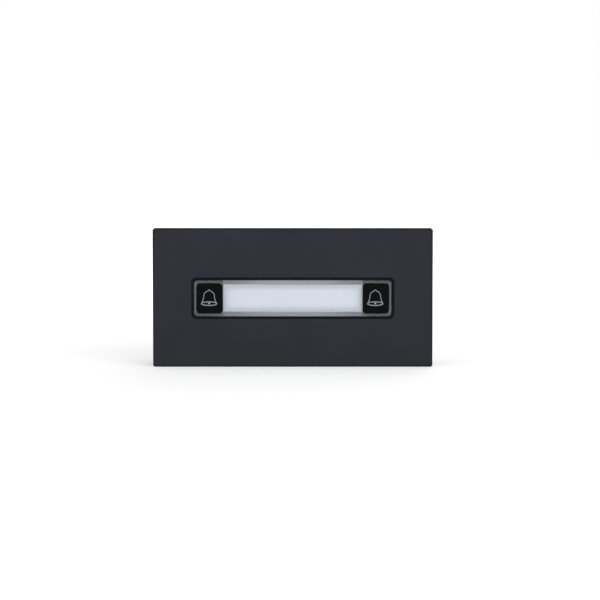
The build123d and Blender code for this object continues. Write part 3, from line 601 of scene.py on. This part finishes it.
def near_end(tree, node, axis, band, low, high, past=0.0):
    """Goes smoothly from low to high over a band along X or Z that stops at both ends of a CAD node, or
    this far past them."""
    ends = [getattr(corner, axis.lower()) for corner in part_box(node)]
    stop = (ends[1] - ends[0]) / 2 + past
    parts = tree.nodes.new("ShaderNodeSeparateXYZ")
    tree.links.new(place_on_part(tree), parts.inputs["Vector"])
    offset = tree.nodes.new("ShaderNodeMath")
    offset.operation = "SUBTRACT"
    offset.inputs[1].default_value = (ends[0] + ends[1]) / 2
    tree.links.new(parts.outputs[axis], offset.inputs[0])
    distance = tree.nodes.new("ShaderNodeMath")
    distance.operation = "ABSOLUTE"
    tree.links.new(offset.outputs["Value"], distance.inputs[0])
    return spread(tree, distance.outputs["Value"], low, high, stop - band, stop)


def blend_colours(tree, factor, first, second):
    """A mix of two colours, each given as a value or as another node's output."""
    mix = tree.nodes.new("ShaderNodeMix")
    mix.data_type = "RGBA"
    tree.links.new(factor, mix.inputs["Factor"])
    ends = [socket for socket in mix.inputs if socket.type == "RGBA"]
    for socket, colour in zip(ends, (first, second)):
        if isinstance(colour, tuple):
            socket.default_value = (*colour, 1.0)
        else:
            tree.links.new(colour, socket)
    return [socket for socket in mix.outputs if socket.type == "RGBA"][0]


def colour_by(tree, shader, factor, first, second):
    """Lets the surface's colour go from the first to the second with the factor."""
    tree.links.new(blend_colours(tree, factor, first, second), shader.inputs["Base Color"])


def roughen(tree, shader, source, low, high):
    """Lets the surface's roughness go from low to high with the source."""
    tree.links.new(spread(tree, source, low, high), shader.inputs["Roughness"])


def raise_surface(tree, shader, source, height, strength):
    """Bumps of this height in metres where the source is high."""
    bump = tree.nodes.new("ShaderNodeBump")
    bump.inputs["Distance"].default_value = height
    bump.inputs["Strength"].default_value = strength
    tree.links.new(source, bump.inputs["Height"])
    tree.links.new(bump.outputs["Normal"], shader.inputs["Normal"])


# Finishes

def powder_coat():
    """Anthracite powder coat with fine grain, faint cool and neutral clouds, and painted shade darkening
    its outer edges.
    """
    material, tree, shader = new_finish("powder_coat", (0.0245, 0.0275, 0.036), 0.6, specular=0.12)
    fine = grain(tree, 0.25 * MM, detail=3.0)
    light = grain(tree, 22 * MM, detail=1.0)
    tone = combine(tree, "ADD", spread(tree, fine, 0.0, 0.55), spread(tree, light, 0.0, 0.45))
    cool = blend_colours(tree, tone, (0.0222, 0.0252, 0.0348), (0.029, 0.0325, 0.0435))
    neutral = blend_colours(tree, tone, (0.0224, 0.0244, 0.0315), (0.0292, 0.0312, 0.039))
    clouds = spread(tree, grain(tree, 35 * MM, detail=1.0), 0.0, 1.0, 0.35, 0.75)
    sides = near_end(tree, "front_plate", "X", PLATE_SIDE_BAND, 0.0, 1.0)
    coat = blend_colours(tree, combine(tree, "MAXIMUM", clouds, sides), cool, neutral)
    # Painted shade: a band along the plate's outer edges goes to a near-black coat colour, where the
    # rounded edges fall into shade.
    edges = [near_end(tree, "front_plate", axis, PLATE_EDGE_SHADE_BAND, 0.0, 1.0) for axis in "XZ"]
    colour_by(tree, shader, combine(tree, "MAXIMUM", *edges), coat, (0.009, 0.0098, 0.012))
    roughen(tree, shader, fine, 0.54, 0.7)
    raise_surface(tree, shader, fine, 0.03 * MM, 0.5)
    return material


def black_rubber():
    """Dull black rubber with a little dust in its pores."""
    material, tree, shader = new_finish("black_rubber", (0.006, 0.006, 0.007), 0.8, specular=0.12)
    dust = grain(tree, 0.4 * MM)
    colour_by(tree, shader, dust, (0.005, 0.005, 0.006), (0.009, 0.009, 0.01))
    roughen(tree, shader, dust, 0.72, 0.88)
    raise_surface(tree, shader, dust, 0.02 * MM, 0.4)
    return material


def clear_acrylic():
    """Clear strip with a satin coat and a faint painted glow in the label's tint. Lamps shine straight
    through it.
    """
    material, tree, shader = new_finish("clear_acrylic", (0.855, 0.88, 0.92), 0.07)
    shader.inputs["Transmission Weight"].default_value = STRIP_CLARITY
    shader.inputs["IOR"].default_value = STRIP_INDEX
    shader.inputs["Coat Weight"].default_value = 1.0
    shader.inputs["Coat Roughness"].default_value = STRIP_COAT_ROUGHNESS
    # Painted glow: a faint emission of the strip's own lifts its narrow rims, in place of the label's
    # light carried through it.
    shader.inputs["Emission Color"].default_value = (0.76, 0.82, 1.0, 1.0)
    shader.inputs["Emission Strength"].default_value = STRIP_LIGHT
    roughen(tree, shader, grain(tree, 3 * MM), 0.05, 0.09)
    open_pane = tree.nodes.new("ShaderNodeBsdfTransparent")
    rays = tree.nodes.new("ShaderNodeLightPath")
    mix = tree.nodes.new("ShaderNodeMixShader")
    tree.links.new(rays.outputs["Is Shadow Ray"], mix.inputs["Fac"])
    tree.links.new(shader.outputs["BSDF"], mix.inputs[1])
    tree.links.new(open_pane.outputs["BSDF"], mix.inputs[2])
    tree.links.new(mix.outputs["Shader"], tree.nodes["Material Output"].inputs["Surface"])
    return material


def lit_label():
    """Blank white film with a painted glow in place of light from behind, fading a little towards the
    edges and cut down by painted shade beside the keys.
    """
    material, tree, shader = new_finish("lit_label", (0.455, 0.46, 0.47), 0.5, specular=0.2)
    fibres = grain(tree, 0.5 * MM, detail=3.0)
    colour_by(tree, shader, fibres, (0.437, 0.442, 0.454), (0.47, 0.475, 0.484))
    # Painted glow: the film shines by its own emission, though no lamp lies behind it.
    along = near_end(tree, "name_label", "X", LABEL_FADE_X, 1.0, LABEL_END_SHARE)
    # Painted shade: the glow drops in a narrow band beside each key, where the keys shade the label.
    key_shade = near_end(tree, "name_label", "X", LABEL_KEY_SHADE_BAND, 1.0, LABEL_KEY_SHADE_SHARE)
    across = near_end(tree, "name_label", "Z", LABEL_FADE_Z, 1.0, 0.0)
    shine = combine(tree, "MULTIPLY", along, key_shade, across)
    shader.inputs["Emission Color"].default_value = (0.925, 0.972, 1.0, 1.0)
    tree.links.new(spread(tree, shine, 0.0, LABEL_LIGHT, 0.0, 1.0), shader.inputs["Emission Strength"])
    roughen(tree, shader, fibres, 0.45, 0.6)
    return material


def opal_plate():
    """Milky plate that spreads the lamps' light, with a painted glow of its own in place of the backlight.
    """
    material, tree, shader = new_finish("opal_plate", (0.82, 0.84, 0.88), 0.5)
    milk = grain(tree, 2 * MM)
    colour_by(tree, shader, milk, (0.8, 0.82, 0.86), (0.86, 0.88, 0.91))
    # Painted glow: the plate shines by its own emission, though it is no lamp.
    shader.inputs["Emission Color"].default_value = (0.86, 0.93, 1.0, 1.0)
    shader.inputs["Emission Strength"].default_value = OPAL_LIGHT
    roughen(tree, shader, milk, 0.4, 0.6)
    return material


def glowing_silicone():
    """Grey silicone with a painted glow in place of the label's light that it passes on, less towards its
    ends and edges.
    """
    material, tree, shader = new_finish("glowing_silicone", (0.02, 0.022, 0.026), 0.6)
    milk = grain(tree, 1.5 * MM)
    colour_by(tree, shader, milk, (0.017, 0.019, 0.022), (0.023, 0.025, 0.03))
    along = near_end(tree, "name_label", "X", SILICONE_FADE_X, SILICONE_LIGHT, SILICONE_END_LIGHT)
    beyond = near_end(
        tree, "name_label", "X", SILICONE_REACH, 1.0, SILICONE_FAR_SHARE, past=SILICONE_REACH
    )
    across = near_end(tree, "seal_membrane", "Z", SILICONE_FADE_Z, SILICONE_MIDDLE_GAIN, 0.0)
    # Painted glow: the sheet's emission shows through the clear strip's rims and lightens them.
    glow = combine(tree, "MULTIPLY", along, beyond, across)
    shader.inputs["Emission Color"].default_value = (0.9, 0.93, 1.0, 1.0)
    tree.links.new(glow, shader.inputs["Emission Strength"])
    roughen(tree, shader, milk, 0.5, 0.7)
    return material


def white_moulding():
    """White plastic with faint flow marks."""
    material, tree, shader = new_finish("white_moulding", (0.82, 0.82, 0.8), 0.45)
    flow = grain(tree, 6 * MM, stretch=(1, 1, 0.3))
    colour_by(tree, shader, flow, (0.78, 0.78, 0.76), (0.84, 0.84, 0.82))
    roughen(tree, shader, flow, 0.38, 0.55)
    return material


def satin_black():
    """Black key plastic with a very fine eroded texture."""
    material, tree, shader = new_finish("satin_black", (0.003, 0.0033, 0.0038), 0.45, specular=0.04)
    erosion = grain(tree, 0.12 * MM, detail=3.0)
    colour_by(tree, shader, erosion, (0.0025, 0.0028, 0.0032), (0.0036, 0.004, 0.0045))
    roughen(tree, shader, erosion, 0.4, 0.55)
    raise_surface(tree, shader, erosion, 0.01 * MM, 0.3)
    return material


def bell_ink():
    """Light grey printing ink with a slightly uneven film."""
    material, tree, shader = new_finish("bell_ink", (0.28, 0.287, 0.316), 0.5, specular=0.3)
    film = grain(tree, 0.35 * MM)
    colour_by(tree, shader, film, (0.25, 0.256, 0.283), (0.314, 0.32, 0.35))
    roughen(tree, shader, film, 0.42, 0.6)
    return material


def moulded_plastic(name, dark, light, size, depth, low=0.42, high=0.62):
    """Moulded plastic: an eroded surface of this grain size and depth, with roughness from low to high."""
    material, tree, shader = new_finish(name, dark, low, specular=0.35)
    erosion = grain(tree, size, detail=4.0)
    flow = grain(tree, 40 * size, detail=1.0)
    tone = combine(tree, "MULTIPLY", erosion, flow)
    colour_by(tree, shader, spread(tree, tone, 0.0, 1.0, 0.1, 0.45), dark, light)
    roughen(tree, shader, erosion, low, high)
    raise_surface(tree, shader, erosion, depth, 0.6)
    return material


def drawn_metal(name, dark, light, low, high):
    """Bare or plated metal with fine drawn lines, duller patches and roughness from low to high."""
    material, tree, shader = new_finish(name, light, low, metallic=1.0)
    lines = grain(tree, METAL_LINE_SIZE, detail=4.0, stretch=METAL_LINE_STRETCH)
    patches = grain(tree, 4 * METAL_LINE_SIZE)
    colour_by(tree, shader, spread(tree, patches, 0.0, 1.0), dark, light)
    roughen(tree, shader, lines, low, high)
    raise_surface(tree, shader, lines, METAL_LINE_HEIGHT, 0.4)
    return material


def circuit_green():
    """Solder mask with paler tracks under it."""
    material, tree, shader = new_finish("circuit_green", (0.01, 0.07, 0.035), 0.3)
    tracks = tree.nodes.new("ShaderNodeTexBrick")
    tracks.inputs["Scale"].default_value = 1 / (9 * MM)
    tracks.inputs["Mortar Size"].default_value = 0.03
    tracks.inputs["Color1"].default_value = (0.0, 0.0, 0.0, 1.0)
    tracks.inputs["Color2"].default_value = (0.1, 0.1, 0.1, 1.0)
    tracks.inputs["Mortar"].default_value = WHITE
    turned = tree.nodes.new("ShaderNodeMapping")
    turned.inputs["Rotation"].default_value = (math.pi / 2, 0, 0)
    tree.links.new(place_on_part(tree), turned.inputs["Vector"])
    tree.links.new(turned.outputs["Vector"], tracks.inputs["Vector"])
    weave = grain(tree, 0.5 * MM)
    colour_by(tree, shader, tracks.outputs["Fac"], (0.008, 0.06, 0.03), (0.03, 0.14, 0.06))
    roughen(tree, shader, weave, 0.25, 0.4)
    raise_surface(tree, shader, tracks.outputs["Fac"], 0.03 * MM, 0.5)
    return material


# One finish for each material slot of the record
FINISHES = {
    "face_coat": powder_coat(),
    "seal_rubber": black_rubber(),
    "clear_strip": clear_acrylic(),
    "label_film": lit_label(),
    "opal_plastic": opal_plate(),
    "clear_silicone": glowing_silicone(),
    "white_plastic": white_moulding(),
    "key_plastic": satin_black(),
    "switch_plastic": moulded_plastic(
        "switch_black", (0.012, 0.012, 0.013), (0.02, 0.02, 0.021), size=0.2 * MM, depth=0.01 * MM
    ),
    "plunger_plastic": moulded_plastic(
        "plunger_red", (0.32, 0.02, 0.015), (0.42, 0.035, 0.025), size=0.2 * MM, depth=0.008 * MM
    ),
    "spring_steel": drawn_metal("spring_steel", (0.5, 0.5, 0.5), (0.62, 0.62, 0.61), 0.2, 0.38),
    "tinned_metal": drawn_metal("tinned_metal", (0.6, 0.6, 0.58), (0.74, 0.74, 0.72), 0.22, 0.42),
    "board_mask": circuit_green(),
    "chip_resin": moulded_plastic(
        "chip_resin", (0.014, 0.014, 0.016), (0.024, 0.024, 0.026), size=0.15 * MM, depth=0.01 * MM
    ),
    "ferrite": moulded_plastic(
        "ferrite", (0.045, 0.045, 0.05), (0.075, 0.075, 0.08), size=0.3 * MM, depth=0.02 * MM
    ),
    "can_metal": drawn_metal("can_metal", (0.62, 0.63, 0.65), (0.76, 0.77, 0.79), 0.2, 0.35),
    "passive_ceramic": moulded_plastic(
        "passive_ceramic", (0.3, 0.2, 0.11), (0.4, 0.28, 0.17), size=0.2 * MM, depth=0.01 * MM
    ),
    "socket_plastic": moulded_plastic(
        "socket_nylon", (0.72, 0.7, 0.63), (0.8, 0.78, 0.72), size=0.3 * MM, depth=0.012 * MM
    ),
    "housing_plastic": moulded_plastic(
        "housing_black",
        (0.017, 0.018, 0.02),
        (0.028, 0.029, 0.031),
        size=0.3 * MM,
        depth=0.03 * MM,
        low=0.45,
    ),
    "screw_steel": drawn_metal("zinc_plate", (0.46, 0.46, 0.45), (0.6, 0.6, 0.61), 0.25, 0.45),
    "insert_brass": drawn_metal("turned_brass", (0.6, 0.42, 0.15), (0.75, 0.56, 0.24), 0.2, 0.36),
}


def give_finish(piece, material):
    """Makes this the piece's one material."""
    piece.data.materials.clear()
    piece.data.materials.append(material)


# Floor, light and camera

def seen_or_mirrored(tree):
    """One for rays from the camera and for reflected or refracted ones, else nought."""
    rays = tree.nodes.new("ShaderNodeLightPath").outputs
    return combine(
        tree, "MAXIMUM", rays["Is Camera Ray"], rays["Is Glossy Ray"], rays["Is Transmission Ray"]
    )


def white_surroundings():
    """A white world to look at, which lights the object at the fill level."""
    world = bpy.data.worlds.new("white_surroundings")
    bpy.context.scene.world = world
    world.use_nodes = True
    tree = world.node_tree
    background = tree.nodes["Background"]
    background.inputs["Color"].default_value = WHITE
    strength = spread(tree, seen_or_mirrored(tree), WORLD_FILL, 1.0, 0.0, 1.0)
    tree.links.new(strength, background.inputs["Strength"])


def pale_floor(height):
    """A wide pale floor under the object that keeps its soft shadow."""
    deselect_all()
    bpy.ops.mesh.primitive_plane_add(size=FLOOR_SIZE, location=(0, 0, height))
    floor = bpy.context.object
    floor.name = "floor"
    material, tree, shader = new_finish("pale_floor", (0.86, 0.86, 0.86), 0.9, specular=0.1)
    shader.inputs["Emission Color"].default_value = WHITE
    distance = tree.nodes.new("ShaderNodeVectorMath")
    distance.operation = "LENGTH"
    tree.links.new(place_on_part(tree), distance.inputs[0])
    lift = spread(tree, distance.outputs["Value"], FLOOR_LIFT_NEAR, FLOOR_LIFT_FAR, FLOOR_NEAR, FLOOR_FAR)
    shown = combine(tree, "MULTIPLY", lift, seen_or_mirrored(tree))
    tree.links.new(shown, shader.inputs["Emission Strength"])
    give_finish(floor, material)


def soft_lamp(name, place, size, power):
    """A square soft lamp that looks at the frame's origin."""
    bpy.ops.object.light_add(type="AREA", location=place)
    lamp = bpy.context.object
    lamp.name = name
    lamp.data.size = size
    lamp.data.energy = power
    lamp.rotation_mode = "QUATERNION"
    lamp.rotation_quaternion = (-Vector(place)).to_track_quat("-Z", "Y")


def front_camera():
    """A camera that looks at the face from a little above, as far off as the wanted width needs."""
    face = cad_box[0].y
    distance = VIEW_WIDTH * LENS_LENGTH / SENSOR_WIDTH
    bpy.ops.object.camera_add(
        location=(
            VIEW_CENTRE_X,
            face - distance * math.cos(CAMERA_RISE),
            VIEW_CENTRE_Z + distance * math.sin(CAMERA_RISE),
        ),
        rotation=(math.pi / 2 - CAMERA_RISE, 0, 0),
    )
    camera = bpy.context.object
    camera.data.lens = LENS_LENGTH
    camera.data.sensor_width = SENSOR_WIDTH
    camera.data.clip_start = CAMERA_NEAREST
    bpy.context.scene.camera = camera


# Putting it together

for row in frame["record"]["subparts"]:
    give_finish(nodes[row["node"]], FINISHES[row["material_slot"]])

give_finish(clear_name_strip(), FINISHES["clear_strip"])
ink = bell_ink()
for side in ("left", "right"):
    give_finish(bell_print(side), ink)
give_finish(housing_screw_set(), FINISHES["screw_steel"])
give_finish(insert_pair(), FINISHES["insert_brass"])

white_surroundings()
pale_floor(cad_box[0].z)
soft_lamp("key_lamp", place=(0.6, -0.95, 0.6), size=0.9, power=5.5)
soft_lamp("fill_lamp", place=(-0.8, -0.9, 0.4), size=0.8, power=1.5)
soft_lamp("back_lamp", place=(0.3, 1.1, 0.35), size=0.9, power=4.0)
front_camera()
bpy.context.scene.view_settings.view_transform = "Standard"
